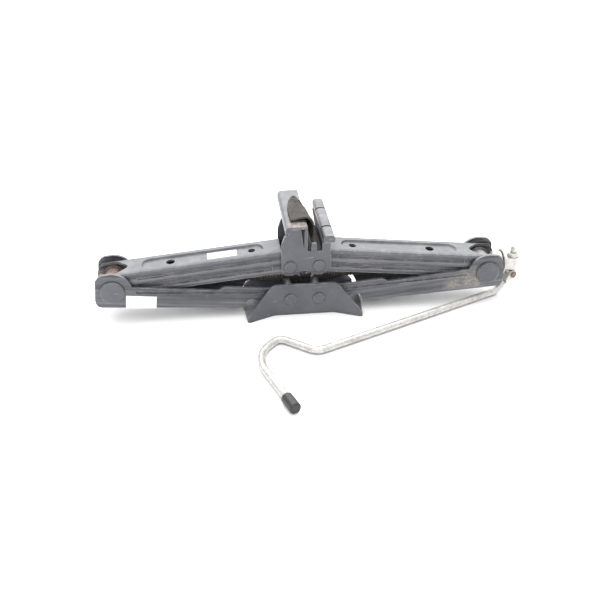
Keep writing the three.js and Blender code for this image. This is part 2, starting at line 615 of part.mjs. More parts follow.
const centreLine = crankPath();
const lastStraight = centreLine.curves.at(-1);
const grip = lastStraight.v2;
const gripWay = grip.clone().sub(lastStraight.v1).normalize();
addPiece('crank_rod', roundBar(centreLine, ROD_RADIUS, 10, 64), STEEL);
addPiece('crank_fork', crankFork(), STEEL);

// The cap slides over the rod's end and is closed at its far end.
function crankCap() {
  const { radius, length } = CAP;
  const bore = ROD_RADIUS + GAP;
  const depth = length - 3;
  const geometry = new THREE.LatheGeometry([
    [0, depth], [bore, depth], [bore, 0], [radius - 0.6, 0], [radius, 0.8], [radius, length - 1.4],
    [radius - 1.2, length], [0, length]].map((p) => new THREE.Vector2(...p)), 20);
  geometry.applyQuaternion(new THREE.Quaternion().setFromUnitVectors(Y, gripWay));
  const start = grip.clone().addScaledVector(gripWay, GAP - depth);
  geometry.translate(start.x, start.y, start.z);
  return solid(geometry);
}
addPiece('crank_cap', crankCap(), PLASTIC);

// ---- blank labels ----

const sticker = new THREE.Group();
sticker.position.set(-TRUNNION_X, 0, TRUNNION_Z);
sticker.rotation.set(0, CLOSED_ANGLE, 0);
const lowLabel = outline([[13.5, -18], [43.5, -16.9], [43.5, -3.4], [13.5, -3.4]]);
addPiece('label_lower', prismY(lowLabel, -LOWER_HALF_WIDTH - 0.35, -LOWER_HALF_WIDTH - 0.05), PAPER, sticker);
jack.add(sticker);

export default jack;
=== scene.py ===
"""A closed scissor jack: satin black pressed arms, slotted saddle, lead screw and folding crank."""
import math

import bmesh
import bpy
from mathutils import Matrix, Vector, noise


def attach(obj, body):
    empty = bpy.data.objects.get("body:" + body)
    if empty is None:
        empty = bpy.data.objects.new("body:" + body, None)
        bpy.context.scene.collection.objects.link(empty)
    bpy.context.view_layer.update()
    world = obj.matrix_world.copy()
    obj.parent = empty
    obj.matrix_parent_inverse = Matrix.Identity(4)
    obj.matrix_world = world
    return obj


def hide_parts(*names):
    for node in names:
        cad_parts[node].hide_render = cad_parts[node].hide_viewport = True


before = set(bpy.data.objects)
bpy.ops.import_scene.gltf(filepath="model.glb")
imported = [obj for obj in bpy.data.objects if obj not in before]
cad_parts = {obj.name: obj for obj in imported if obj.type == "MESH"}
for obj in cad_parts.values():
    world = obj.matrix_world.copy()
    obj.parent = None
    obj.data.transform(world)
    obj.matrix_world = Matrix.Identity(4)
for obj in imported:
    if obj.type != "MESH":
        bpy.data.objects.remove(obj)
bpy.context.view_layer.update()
MM = 0.001

# ---- camera, floor and light ----

CAMERA_AZIMUTH = math.radians(-7.29)
CAMERA_ELEVATION = math.radians(32.18)
CAMERA_ROLL = math.radians(0.66)
CAMERA_DISTANCE = 0.856
CAMERA_TARGET = Vector((-0.0018, 0.0, 0.002))
LENS = 48.6
SENSOR = 36.0
SKY_HORIZON = 0.60
SKY_ZENITH = 1.70
SKY_IN_VIEW = 1.1                    # what the camera itself sees of the sky
FLOOR_REACH = 8.0
FLOOR_GREY = 0.95
FLOOR_ROUGHNESS = 0.9
# Area lights: name, place, target, size and power in watts.
LIGHTS = (
    ("overhead", (0.05, 0.35, 1.3), (0.0, 0.0, 0.0), (1.6, 1.1), 11.0),
    ("front", (-0.5, -1.2, 0.75), (0.0, 0.0, 0.03), (1.0, 0.8), 3.5),
    ("back", (0.1, 1.7, 1.15), (0.0, 0.0, 0.03), (3.4, 1.1), 40.0))


def add_camera():
    data = bpy.data.cameras.new("camera")
    data.lens = LENS
    data.sensor_width = SENSOR
    data.clip_start = 0.05
    camera = bpy.data.objects.new("camera", data)
    bpy.context.scene.collection.objects.link(camera)
    flat = math.cos(CAMERA_ELEVATION)
    back = Vector((
        math.sin(CAMERA_AZIMUTH) * flat, -math.cos(CAMERA_AZIMUTH) * flat, math.sin(CAMERA_ELEVATION)))
    right = Vector((math.cos(CAMERA_AZIMUTH), math.sin(CAMERA_AZIMUTH), 0.0))
    up = back.cross(right)
    turn = Matrix((right, up, back)).transposed() @ Matrix.Rotation(CAMERA_ROLL, 3, "Z")
    camera.matrix_world = Matrix.Translation(CAMERA_TARGET + back * CAMERA_DISTANCE) @ turn.to_4x4()
    bpy.context.scene.camera = camera


def add_area(name, place, target, size, power):
    data = bpy.data.lights.new(name, "AREA")
    data.shape = "RECTANGLE"
    data.size, data.size_y = size
    data.energy = power
    light = bpy.data.objects.new(name, data)
    bpy.context.scene.collection.objects.link(light)
    light.location = place
    aim = Vector(target) - Vector(place)
    light.rotation_euler = aim.to_track_quat("-Z", "Y").to_euler()


def add_sky():
    """A soft white sky, brighter overhead than at the horizon, and plain white in open view."""
    world = bpy.data.worlds.new("world")
    bpy.context.scene.world = world
    world.use_nodes = True
    nodes, links = world.node_tree.nodes, world.node_tree.links
    background = nodes["Background"]
    coordinates = nodes.new("ShaderNodeTexCoord")
    split = nodes.new("ShaderNodeSeparateXYZ")
    height = nodes.new("ShaderNodeMapRange")
    height.interpolation_type = "SMOOTHSTEP"
    height.inputs["To Min"].default_value = SKY_HORIZON
    height.inputs["To Max"].default_value = SKY_ZENITH
    seen = nodes.new("ShaderNodeLightPath")
    choose = nodes.new("ShaderNodeMix")
    choose.inputs["B"].default_value = SKY_IN_VIEW
    links.new(coordinates.outputs["Generated"], split.inputs["Vector"])
    links.new(split.outputs["Z"], height.inputs["Value"])
    links.new(seen.outputs["Is Camera Ray"], choose.inputs["Factor"])
    links.new(height.outputs["Result"], choose.inputs["A"])
    links.new(choose.outputs["Result"], background.inputs["Strength"])
    background.inputs["Color"].default_value = (1.0, 1.0, 1.0, 1.0)


def add_floor():
    mesh = bpy.data.meshes.new("floor")
    reach = FLOOR_REACH
    corners = [(-reach, -reach, 0), (reach, -reach, 0), (reach, reach, 0), (-reach, reach, 0)]
    mesh.from_pydata(corners, [], [(0, 1, 2, 3)])
    floor = bpy.data.objects.new("floor", mesh)
    bpy.context.scene.collection.objects.link(floor)
    material = bpy.data.materials.new("floor")
    material.use_nodes = True
    shader = material.node_tree.nodes["Principled BSDF"]
    shader.inputs["Base Color"].default_value = (FLOOR_GREY, FLOOR_GREY, FLOOR_GREY, 1.0)
    shader.inputs["Roughness"].default_value = FLOOR_ROUGHNESS
    floor.data.materials.append(material)


add_camera()
add_sky()
for light in LIGHTS:
    add_area(*light)
add_floor()
bpy.context.scene.view_settings.view_transform = "Standard"

# ---- material building blocks ----


class Surface:
    """A node material on the object's own coordinates, with short names for the nodes it needs."""

    def __init__(self, name, roughness, metallic=0.0):
        self.material = bpy.data.materials.new(name)
        self.material.use_nodes = True
        self.tree = self.material.node_tree
        self.shader = self.tree.nodes["Principled BSDF"]
        self.shader.inputs["Metallic"].default_value = metallic
        self.shader.inputs["Roughness"].default_value = roughness
        self.coordinates = self.tree.nodes.new("ShaderNodeTexCoord")

    def link(self, source, target):
        self.tree.links.new(source, target)

    def place(self, scale, turn):
        """The object's coordinates turned and then scaled."""
        vector = self.coordinates.outputs["Object"]
        for name, value in (("Rotation", turn), ("Scale", scale)):
            mapping = self.tree.nodes.new("ShaderNodeMapping")
            mapping.inputs[name].default_value = value
            self.link(vector, mapping.inputs["Vector"])
            vector = mapping.outputs["Vector"]
        return vector

    def noise(self, scale, detail=4.0, rough=0.55, stretch=(1.0, 1.0, 1.0), turn=(0.0, 0.0, 0.0)):
        node = self.tree.nodes.new("ShaderNodeTexNoise")
        node.inputs["Scale"].default_value = scale
        node.inputs["Detail"].default_value = detail
        node.inputs["Roughness"].default_value = rough
        self.link(self.place(stretch, turn), node.inputs["Vector"])
        return node.outputs["Fac"]

    def ramp(self, value, low, high, start=0.0, end=1.0):
        node = self.tree.nodes.new("ShaderNodeMapRange")
        node.inputs["From Min"].default_value = low
        node.inputs["From Max"].default_value = high
        node.inputs["To Min"].default_value = start
        node.inputs["To Max"].default_value = end
        self.link(value, node.inputs["Value"])
        return node.outputs["Result"]

    def math(self, operation, first, second):
        node = self.tree.nodes.new("ShaderNodeMath")
        node.operation = operation
        node.use_clamp = True
        for socket, value in zip(node.inputs, (first, second)):
            if isinstance(value, float):
                socket.default_value = value
            else:
                self.link(value, socket)
        return node.outputs["Value"]

    def times(self, *masks):
        product = masks[0]
        for mask in masks[1:]:
            product = self.math("MULTIPLY", product, mask)
        return product

    def mix(self, mask, first, second):
        node = self.tree.nodes.new("ShaderNodeMix")
        node.data_type = "RGBA"
        self.link(mask, node.inputs["Factor"])
        for index, value in ((6, first), (7, second)):
            if isinstance(value, tuple):
                node.inputs[index].default_value = (*value, 1.0)
            else:
                self.link(value, node.inputs[index])
        return node.outputs[2]

    def axis_of(self, vector, letter):
        split = self.tree.nodes.new("ShaderNodeSeparateXYZ")
        self.link(vector, split.inputs["Vector"])
        return split.outputs[letter]

    def axis(self, letter, kind="Object"):
        return self.axis_of(self.coordinates.outputs[kind], letter)

    def between(self, value, low, high, fade):
        rises = self.ramp(value, low - fade, low + fade)
        falls = self.ramp(value, high + fade, high - fade)
        return self.times(rises, falls)

    def up_facing(self, low=0.3, high=0.95):
        return self.ramp(self.axis("Z", "Normal"), low, high)

    def span(self, letter, low, high, fade=0.0004):
        """A mask that is 1 where the coordinate lies between low and high, in metres."""
        return self.between(self.axis(letter), low, high, fade)

    def edges(self, radius, low=0.02, high=0.25):
        """A mask of the edges within radius, in metres."""
        bevel = self.tree.nodes.new("ShaderNodeBevel")
        bevel.samples = 4
        bevel.inputs["Radius"].default_value = radius
        geometry = self.tree.nodes.new("ShaderNodeNewGeometry")
        dot = self.tree.nodes.new("ShaderNodeVectorMath")
        dot.operation = "DOT_PRODUCT"
        self.link(bevel.outputs["Normal"], dot.inputs[0])
        self.link(geometry.outputs["True Normal"], dot.inputs[1])
        return self.ramp(dot.outputs["Value"], 1.0 - low, 1.0 - high)

    def corners(self, reach, low=0.35, high=0.8):
        """A mask of the closed-in places where painted shade goes, within reach, in metres."""
        node = self.tree.nodes.new("ShaderNodeAmbientOcclusion")
        node.samples = 6
        node.inputs["Distance"].default_value = reach
        return self.ramp(node.outputs["AO"], high, low)

    def near(self, centre, radius, fade):
        """A mask that is 1 within radius of a point and 0 beyond radius + fade."""
        node = self.tree.nodes.new("ShaderNodeVectorMath")
        node.operation = "DISTANCE"
        self.link(self.coordinates.outputs["Object"], node.inputs[0])
        node.inputs[1].default_value = centre
        return self.ramp(node.outputs["Value"], radius + fade, radius)

    def bump(self, height, strength, distance):
        node = self.tree.nodes.new("ShaderNodeBump")
        node.inputs["Strength"].default_value = strength
        node.inputs["Distance"].default_value = distance
        self.link(height, node.inputs["Height"])
        self.link(node.outputs["Normal"], self.shader.inputs["Normal"])

    def finish(self, colour, roughness=None, metallic=None):
        self.link(colour, self.shader.inputs["Base Color"])
        if roughness is not None:
            self.link(roughness, self.shader.inputs["Roughness"])
        if metallic is not None:
            self.link(metallic, self.shader.inputs["Metallic"])
        return self.material


# ---- materials ----

PAINT_DARK = (0.072, 0.075, 0.087)
PAINT_LIGHT = (0.104, 0.107, 0.121)
# Painted shade and painted highlight: dark and light sheen streaks and bands on the arms' sides.
PAINTED_SHADE_TONE = (0.028, 0.028, 0.031)
PAINTED_HIGHLIGHT_TONE = (0.19, 0.19, 0.20)
# Painted shade in closed-in corners and recesses, such as the inside of the slot.
RECESS_SHADE = (0.022, 0.020, 0.020)
DUST = (0.36, 0.35, 0.33)
# Bare metal of scratches and edge wear, which also serves as a painted highlight along the edges.
BARE_METAL_AND_HIGHLIGHT = (0.52, 0.50, 0.48)
SAND_DARK = (0.115, 0.108, 0.098)
SAND_LIGHT = (0.36, 0.340, 0.305)
RUB_DARK = (0.12, 0.088, 0.080)
RUB_LIGHT = (0.37, 0.335, 0.322)
FRECKLE_DARK = (0.07, 0.035, 0.022)
FRECKLE_LIGHT = (0.22, 0.14, 0.09)
RUST_DARK = (0.09, 0.050, 0.04)
RUST_LIGHT = (0.25, 0.165, 0.145)
RUST_GREY = (0.22, 0.20, 0.195)
RUBBER_DARK = (0.020, 0.018, 0.017)
RUBBER_MUD = (0.120, 0.110, 0.098)
RUBBER_PORES = (0.060, 0.055, 0.050)
VINYL = (0.020, 0.020, 0.022)
VINYL_SCUFF = (0.13, 0.125, 0.12)
PAPER = (0.88, 0.88, 0.87)
PAPER_SOIL = (0.55, 0.52, 0.47)
BARREL_STEEL = (0.36, 0.36, 0.36)

# Where the finishes change, in metres: the rubbed patch, the painted shade inside the slot, the arms' ears.
RUB_PLACE = (-0.0065, -0.0135, 0.0985)
RUB_RADIUS = 0.0065
RUB_FADE = 0.006
SLOT_INSIDE = (("X", 0.0018, 0.0181), ("Y", -0.0195, 0.0650), ("Z", 0.0665, 0.0970))
EAR_INSIDE = 0.0210


def arm_sheen_and_shade(s, colour, arm):
    """An arm's sides: painted sheen as dark and light streaks along its length, painted shade under its
    bend and in its pressings, and painted highlight on the lips below them. arm is its slope in radians,
    its outer pivot and its bands in mm."""
    slope, pivot, shaded_bands, lit_bands = arm
    side = s.ramp(s.up_facing(-0.2, 0.75), 1.0, 0.0)
    sheen = s.noise(210.0, 3.0, 0.6, (0.035, 0.3, 1.0), (0.0, slope, 0.0))
    # Painted sheen: dark and light streaks along the side faces.
    colour = s.mix(s.times(s.ramp(sheen, 0.50, 0.38), side, 0.75), colour, PAINTED_SHADE_TONE)
    colour = s.mix(s.times(s.ramp(sheen, 0.55, 0.66), side, 0.75), colour, PAINTED_HIGHLIGHT_TONE)
    height = s.axis_of(s.place((1.0, 1.0, 1.0), (0.0, slope, 0.0)), "Z")
    level = -pivot[0] * math.sin(slope) + pivot[1] * math.cos(slope)
    patchy = s.ramp(s.noise(45.0, 5.0, 0.7, (0.5, 1.0, 1.0)), 0.25, 0.50)
    # Painted shade in the pressings and painted highlight on the lips below them.
    for bands, tone, amount in ((shaded_bands, PAINTED_SHADE_TONE, 0.9), (lit_bands, PAINTED_HIGHLIGHT_TONE, 0.6)):
        for low, high in bands:
            inside = s.between(height, level + low * MM, level + high * MM, 0.7 * MM)
            colour = s.mix(s.times(inside, side, patchy, amount), colour, tone)
    return colour


def painted(s, dust, corner_shade, arm=None):
    """Satin black paint on the surface s: its colour and roughness, with dust, scuffs, painted shade in its
    corners and edge wear that is also a painted edge highlight.
    """
    cloud = s.ramp(s.noise(30.0, 5.0), 0.35, 0.65)
    colour = s.mix(cloud, PAINT_DARK, PAINT_LIGHT)
    if arm:
        # The arms' painted sheen, painted shade and painted highlight.
        colour = arm_sheen_and_shade(s, colour, arm)
    patch = s.ramp(s.noise(70.0, 6.0, 0.65), 0.45, 0.75)
    speck = s.ramp(s.noise(520.0, 3.0, 0.7), 0.60, 0.70)
    dusty = s.math("ADD", s.times(s.up_facing(), patch), s.times(speck, 0.5))
    dusty = s.times(dusty, dust)
    colour = s.mix(dusty, colour, DUST)
    # Painted shade in closed-in corners, broken up by noise.
    pocket = s.times(s.corners(0.006), s.ramp(s.noise(160.0, 5.0, 0.7), 0.30, 0.60), corner_shade)
    colour = s.mix(pocket, colour, RECESS_SHADE)
    stroke = s.ramp(s.noise(190.0, 1.0, 0.4, (0.16, 1.0, 2.4), (0.0, 0.12, 0.2)), 0.76, 0.78)
    # Edge wear, which also serves as a painted highlight along the edges.
    chip_and_edge_highlight = s.times(s.edges(0.0010), s.ramp(s.noise(110.0, 4.0, 0.7), 0.42, 0.60))
    wear_and_edge_highlight = s.math("MAXIMUM", s.times(stroke, 0.22), s.times(chip_and_edge_highlight, 0.85))
    colour = s.mix(wear_and_edge_highlight, colour, BARE_METAL_AND_HIGHLIGHT)
    rough = s.ramp(cloud, 0.0, 1.0, 0.30, 0.42)
    rough = s.math("ADD", rough, s.times(dusty, 0.4))
    height = s.math("ADD", s.times(s.noise(1100.0, 2.0), 0.3), s.times(s.noise(70.0, 3.0), 0.7))
    s.bump(height, 0.25, 0.0003)
    return colour, rough


def black_paint(name, dust=0.3, corner_shade=0.8, arm=None):
    s = Surface(name, 0.35)
    return s.finish(*painted(s, dust, corner_shade, arm))


def sandy_paint(name, arm, patches):
    """An arm's black paint with a thin crust of sand and mud round some points."""
    s = Surface(name, 0.35)
    colour, rough = painted(s, 0.35, 0.8, arm)
    crust = s.ramp(s.noise(190.0, 6.0, 0.75, (0.5, 1.0, 1.0)), 0.34, 0.58)
    near = [s.near(centre, radius, 1.4 * radius) for centre, radius in patches]
    ragged = s.times(s.math("MAXIMUM", *near), crust)
    grain = s.ramp(s.noise(650.0, 5.0, 0.7), 0.35, 0.65)
    colour = s.mix(ragged, colour, s.mix(grain, SAND_DARK, SAND_LIGHT))
    return s.finish(colour, s.math("ADD", rough, s.times(ragged, 0.4)))


def rubbed_paint(name):
    """The pad's paint: rubbed through to pinkish scratched metal near its front edge."""
    s = Surface(name, 0.35)
    colour, rough = painted(s, 0.5, 0.5)
    ragged = s.times(
        s.near(RUB_PLACE, RUB_RADIUS, RUB_FADE), s.ramp(s.noise(170.0, 6.0, 0.75), 0.36, 0.52))
    grain = s.ramp(s.noise(420.0, 6.0, 0.75, (1.0, 0.4, 1.0), (0.0, 0.0, 0.7)), 0.36, 0.60)
    colour = s.mix(ragged, colour, s.mix(grain, RUB_DARK, RUB_LIGHT))
    return s.finish(colour, s.math("ADD", rough, s.times(ragged, 0.3)))


def shaded_slot_paint(name):
    """The head bracket's paint, with painted shade filling the inside of the slot."""
    s = Surface(name, 0.35)
    colour, rough = painted(s, 0.3, 0.9)
    spans = [s.span(letter, low, high) for letter, low, high in SLOT_INSIDE]
    # Painted shade inside the slot, broken up by noise.
    inside = s.times(*spans, s.ramp(s.noise(120.0, 5.0, 0.7), 0.15, 0.40))
    colour = s.mix(inside, colour, RECESS_SHADE)
    return s.finish(colour, s.math("ADD", rough, s.times(inside, 0.35)))


def steel_colour(s, rust_amount, tint):
    """Dull bare steel on the surface s, with drawn marks, freckles of rust and painted shade in its
    corners.
    """
    streak = s.ramp(s.noise(260.0, 4.0, 0.6), 0.3, 0.7)
    colour = s.mix(streak, tuple(0.66 * c for c in tint), tint)
    blotch = s.ramp(s.noise(75.0, 6.0, 0.7), 0.50, 0.66)
    freckle = s.ramp(s.noise(500.0, 4.0, 0.75), 0.54, 0.64)
    rust = s.times(s.math("ADD", blotch, s.times(freckle, 0.6)), rust_amount)
    colour = s.mix(rust, colour, s.mix(streak, FRECKLE_DARK, FRECKLE_LIGHT))
    # Painted shade in closed-in corners.
    colour = s.mix(s.times(s.corners(0.004), 0.7), colour, RECESS_SHADE)
    rough = s.math("ADD", s.ramp(streak, 0.0, 1.0, 0.28, 0.45), s.times(rust, 0.5))
    return colour, rough, rust


def bare_steel(name, rust_amount=0.35, tint=(0.50, 0.48, 0.44), metallic=0.85):
    s = Surface(name, 0.38, metallic)
    colour, rough, rust = steel_colour(s, rust_amount, tint)
    s.bump(s.noise(700.0, 4.0), 0.25, 0.0002)
    return s.finish(colour, rough, s.ramp(rust, 0.0, 1.0, metallic, 0.15))


def rust_colour(s):
    grain = s.ramp(s.noise(320.0, 6.0, 0.75), 0.3, 0.7)
    cloud = s.ramp(s.noise(70.0, 5.0, 0.6), 0.35, 0.65)
    colour = s.mix(grain, RUST_DARK, RUST_LIGHT)
    return s.mix(s.times(cloud, 0.5), colour, RUST_GREY), s.ramp(grain, 0.0, 1.0, 0.85, 0.6)


def rusty_steel(name):
    """Brown-pink surface rust with darker pits."""
    s = Surface(name, 0.72, 0.15)
    colour, rough = rust_colour(s)
    s.bump(s.noise(320.0, 6.0, 0.75), 0.5, 0.0004)
    return s.finish(colour, rough)


def trunnion_finish(name, rusty):
    """A trunnion: heads painted black outside the arms, the barrel between them rusty or bare."""
    s = Surface(name, 0.35)
    paint_colour, paint_rough = painted(s, 0.25, 0.6)
    if rusty:
        core, core_rough = rust_colour(s)
    else:
        core, core_rough, _ = steel_colour(s, 0.15, BARREL_STEEL)
    inboard = s.span("Y", -EAR_INSIDE, EAR_INSIDE)
    outboard = s.math("SUBTRACT", 1.0, inboard)
    colour = s.mix(inboard, paint_colour, core)
    rough = s.math("ADD", s.times(inboard, core_rough), s.times(outboard, paint_rough))
    return s.finish(colour, rough)


def dirty_rubber(name):
    """Old rubber, brown-grey with dried mud in its pores."""
    s = Surface(name, 0.85)
    mud = s.ramp(s.noise(150.0, 6.0, 0.75), 0.38, 0.62)
    fine = s.ramp(s.noise(800.0, 4.0, 0.7), 0.35, 0.65)
    colour = s.mix(mud, RUBBER_DARK, RUBBER_MUD)
    colour = s.mix(s.times(fine, 0.5), colour, RUBBER_PORES)
    s.bump(s.math("ADD", s.times(mud, 0.6), s.times(fine, 0.3)), 0.9, 0.0012)
    return s.finish(colour, s.ramp(mud, 0.0, 1.0, 0.7, 0.95))


def black_plastic(name):
    """Moulded black vinyl with light scuffs."""
    s = Surface(name, 0.5)
    scuff = s.ramp(s.noise(160.0, 5.0, 0.7, (1.0, 1.0, 3.0)), 0.58, 0.70)
    colour = s.mix(s.times(scuff, 0.6), VINYL, VINYL_SCUFF)
    s.bump(s.noise(1200.0, 3.0), 0.3, 0.0002)
    return s.finish(colour, s.ramp(scuff, 0.0, 1.0, 0.42, 0.7))


def label_paper(name):
    """A blank white paper label, slightly soiled."""
    s = Surface(name, 0.55)
    soil = s.ramp(s.noise(140.0, 6.0, 0.7), 0.50, 0.80)
    colour = s.mix(s.times(soil, 0.45), PAPER, PAPER_SOIL)
    s.bump(s.noise(900.0, 3.0), 0.15, 0.0001)
    return s.finish(colour, s.ramp(soil, 0.0, 1.0, 0.45, 0.65))


paint = black_paint("black_paint")
steel = bare_steel("bare_steel", 0.3, (0.56, 0.54, 0.51))
greasy_steel = bare_steel("greasy_steel", 0.5, (0.20, 0.185, 0.17), 0.6)
rod_steel = bare_steel("rod_steel", 0.30, (0.70, 0.69, 0.66), 0.6)
pale_steel = bare_steel("pale_steel", 0.12, (0.66, 0.65, 0.62), 0.4)
rust = rusty_steel("surface_rust")
rubber = dirty_rubber("dirty_rubber")
paper = label_paper("blank_label")
rubbed = rubbed_paint("black_paint_rubbed")

TRUNNION_X = 191.589 * MM
TRUNNION_Z = 36.488 * MM
ARM_SLOPE = math.radians(5.8)
# Bands of painted shade (first) and painted highlight (second) on the arms' sides, in mm from the pivot
# line.
UPPER_BANDS = (((8.6, 12.0), (0.2, 3.2), (-6.9, -5.9)), ((4.4, 7.0), (-5.2, -3.4)))
LOWER_BANDS = (((16.6, 19.2),), ((-13.0, -11.8),))


def arm_look(rising, side, bands):
    """What the arms' painted sheen and shade needs for an arm: side is -1 for the left and 1 for the right.
    """
    return (ARM_SLOPE if rising else -ARM_SLOPE), (side * TRUNNION_X, TRUNNION_Z), *bands


SAND_PATCHES = (((0.174, -0.021, 0.027), 0.008), ((0.158, -0.021, 0.023), 0.006))

FINISHES = {
    "base_plate": paint, "base_pin_left": paint, "base_pin_right": paint,
    "lower_arm_left": black_paint("black_paint_lower", 0.3, 0.8, arm_look(False, -1, LOWER_BANDS)),
    "upper_arm_left": black_paint("black_paint_upper", 0.45, 0.9, arm_look(True, -1, UPPER_BANDS)),
    "upper_arm_right": black_paint("black_paint_upper_2", 0.5, 0.9, arm_look(False, 1, UPPER_BANDS)),
    "lower_arm_right": sandy_paint("black_paint_sandy", arm_look(True, 1, LOWER_BANDS), SAND_PATCHES),
    "head_bracket": shaded_slot_paint("black_paint_shaded_slot"),
    "head_pin_left": paint, "head_pin_right": paint,
    "saddle_pad": rubbed,
    "saddle_ridge": black_paint("black_paint_dusty", 0.7),
    "slot_tab": paint,
    "trunnion_left": trunnion_finish("rusty_trunnion", True),
    "washer_left_front": rust, "washer_left_rear": rust, "screw_end_nut": rust, "droop_pin": rust,
    "trunnion_right": trunnion_finish("grey_trunnion", False),
    "washer_right_front": steel, "washer_right_rear": steel,
    "lead_screw": greasy_steel, "screw_eye": pale_steel,
    "crank_rod": rod_steel, "crank_fork": rod_steel, "kingpin": rod_steel,
    "kingpin_collar": pale_steel, "thrust_bearing": pale_steel, "thrust_disc": pale_steel,
    "rubber_sheet": rubber,
    "crank_cap": black_plastic("black_vinyl"),
    "label_lower": paper,
}

# ---- shaping ----


def dress(node, material):
    """Gives a CAD node its material."""
    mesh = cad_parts[node].data
    mesh.materials.clear()
    mesh.materials.append(material)


def soften(piece, width, angle=32.0):
    """Rounds a piece's sharp edges slightly and smooths its curved faces."""
    for polygon in piece.data.polygons:
        polygon.use_smooth = True
    planar = piece.modifiers.new("planar", "DECIMATE")
    planar.decimate_type = "DISSOLVE"
    planar.angle_limit = math.radians(0.6)
    bevel = piece.modifiers.new("bevel", "BEVEL")
    bevel.width = width
    bevel.segments = 2
    bevel.limit_method = "ANGLE"
    bevel.angle_limit = math.radians(angle)
    bevel.harden_normals = True
    bevel.use_clamp_overlap = True
    smooth = piece.modifiers.new("normals", "WEIGHTED_NORMAL")
    smooth.keep_sharp = True


def add_piece(name, vertices, faces, body, slot, material, node=None):
    """A smooth mesh piece that rides on a body and may stand for a CAD node."""
    mesh = bpy.data.meshes.new(name)
    mesh.from_pydata([tuple(v) for v in vertices], [], faces)
    shape = bmesh.new()
    shape.from_mesh(mesh)
    bmesh.ops.recalc_face_normals(shape, faces=shape.faces)
    shape.to_mesh(mesh)
    shape.free()
    for polygon in mesh.polygons:
        polygon.use_smooth = True
    mesh.materials.append(material)
    piece = bpy.data.objects.new(name, mesh)
    bpy.context.scene.collection.objects.link(piece)
    if node:
        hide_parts(node)
    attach(piece, body)
    return piece


def skin(rings):
    """The faces of a closed tube through equal rings of vertices, capped at both ends."""
    sides = len(rings[0])
    vertices = [v for ring in rings for v in ring]
    faces = []
    for i in range(len(rings) - 1):
        for j in range(sides):
            a, b = i * sides + j, i * sides + (j + 1) % sides
            faces.append((a, b, b + sides, a + sides))
    faces.append(tuple(range(sides)))
    faces.append(tuple(range(len(vertices) - sides, len(vertices))))
    return vertices, faces


def frames_along(points):
    """A point and two directions square to the path at each of its points, without twist."""
    across = Vector((0.0, 0.0, 1.0))
    for i, point in enumerate(points):
        way = (points[min(i + 1, len(points) - 1)] - points[max(i - 1, 0)]).normalized()
        across = (across - way * across.dot(way)).normalized()
        yield point, across, way.cross(across)


def tube(points, radius_at, sides=24):
    rings = []
    for i, (point, first, second) in enumerate(frames_along(points)):
        radius = radius_at(i)
        rings.append([
            point + radius * (math.cos(a) * first + math.sin(a) * second)
            for a in (2 * math.pi * j / sides for j in range(sides))])
    return skin(rings)


# ---- lead screw: a rolled trapezoidal thread, plain where it runs in the bearing ----

SCREW_START = -TRUNNION_X - 15.5 * MM
SCREW_END = TRUNNION_X + 23.1 * MM
THREAD_END = TRUNNION_X - 14 * MM
THREAD_PITCH = 3.0 * MM
THREAD_DEPTH = 1.1 * MM
THREAD_CREST = 2.4                   # how flat the crests are
THREAD_FLANK = 6.0                   # how steep the flanks are
BEARING_RELIEF = 0.25 * MM
SCREW_RADIUS = 6.3 * MM
SCREW_STEP = 0.5 * MM
SCREW_SIDES = 24


def thread_radius(x, angle):
    """The bar's radius at a place along it and round it."""
    if x > THREAD_END:
        return SCREW_RADIUS - BEARING_RELIEF
    phase = (x / THREAD_PITCH + angle / (2 * math.pi)) % 1.0
    height = min(1.0, max(0.0, THREAD_CREST - THREAD_FLANK * abs(phase - 0.5)))
    return SCREW_RADIUS - THREAD_DEPTH * (1.0 - height)


def add_lead_screw():
    count = round((SCREW_END - SCREW_START) / SCREW_STEP)
    rings = []
    for i in range(count + 1):
        x = SCREW_START + (SCREW_END - SCREW_START) * i / count
        ring = []
        for j in range(SCREW_SIDES):
            angle = 2 * math.pi * j / SCREW_SIDES
            radius = thread_radius(x, angle)
            ring.append((x, radius * math.cos(angle), TRUNNION_Z + radius * math.sin(angle)))
        rings.append(ring)
    add_piece("lead_screw_thread", *skin(rings), "screw", "bare_steel", greasy_steel, "lead_screw")


# ---- crank rod: a smooth bent bar ----

CRANK_HEADING = math.radians(23.4)
NECK_SLOPE = math.radians(50.0)
SWIVEL_X = 225.0
DROOP_Z = 22.0
ROD_Z = 4.0
ROD_RADIUS = 3.8 * MM
FORK_REACH = 10.3
FOOT_BEND = 8.0
HOOK = (
    (3.2, -96.2, 8.0, ROD_Z), (-31.0, -70.0, 9.5, ROD_Z), (-50.0, -90.5, 11.5, ROD_Z),
    (-51.5, -113.0, 10.5, ROD_Z), (-28.5, -178.5, 0.0, 5.8))
BEND_STEPS = 10


def crank_points():
    """The rod's centre line: straight runs joined by round bends, in metres."""
    heading = Vector((-math.cos(CRANK_HEADING), -math.sin(CRANK_HEADING), 0.0))
    swivel = Vector((SWIVEL_X, 0.0, 0.0))
    start = swivel + heading * FORK_REACH * math.cos(NECK_SLOPE)
    start.z = DROOP_Z - FORK_REACH * math.sin(NECK_SLOPE)
    foot = swivel + heading * (DROOP_Z - ROD_Z) / math.tan(NECK_SLOPE)
    foot.z = ROD_Z
    corners = [(start, 0.0), (foot, FOOT_BEND)] + [(Vector((x, y, z)), bend) for x, y, bend, z in HOOK]
    points = [start]
    for (before, _), (corner, bend), (after, _) in zip(corners, corners[1:], corners[2:]):
        into = corner + (before - corner).normalized() * bend
        out = corner + (after - corner).normalized() * bend
        for i in range(BEND_STEPS + 1):
            t = i / BEND_STEPS
            points.append(into * (1 - t) ** 2 + corner * 2 * t * (1 - t) + out * t ** 2)
    points.append(corners[-1][0])
    return [p * MM for p in points]


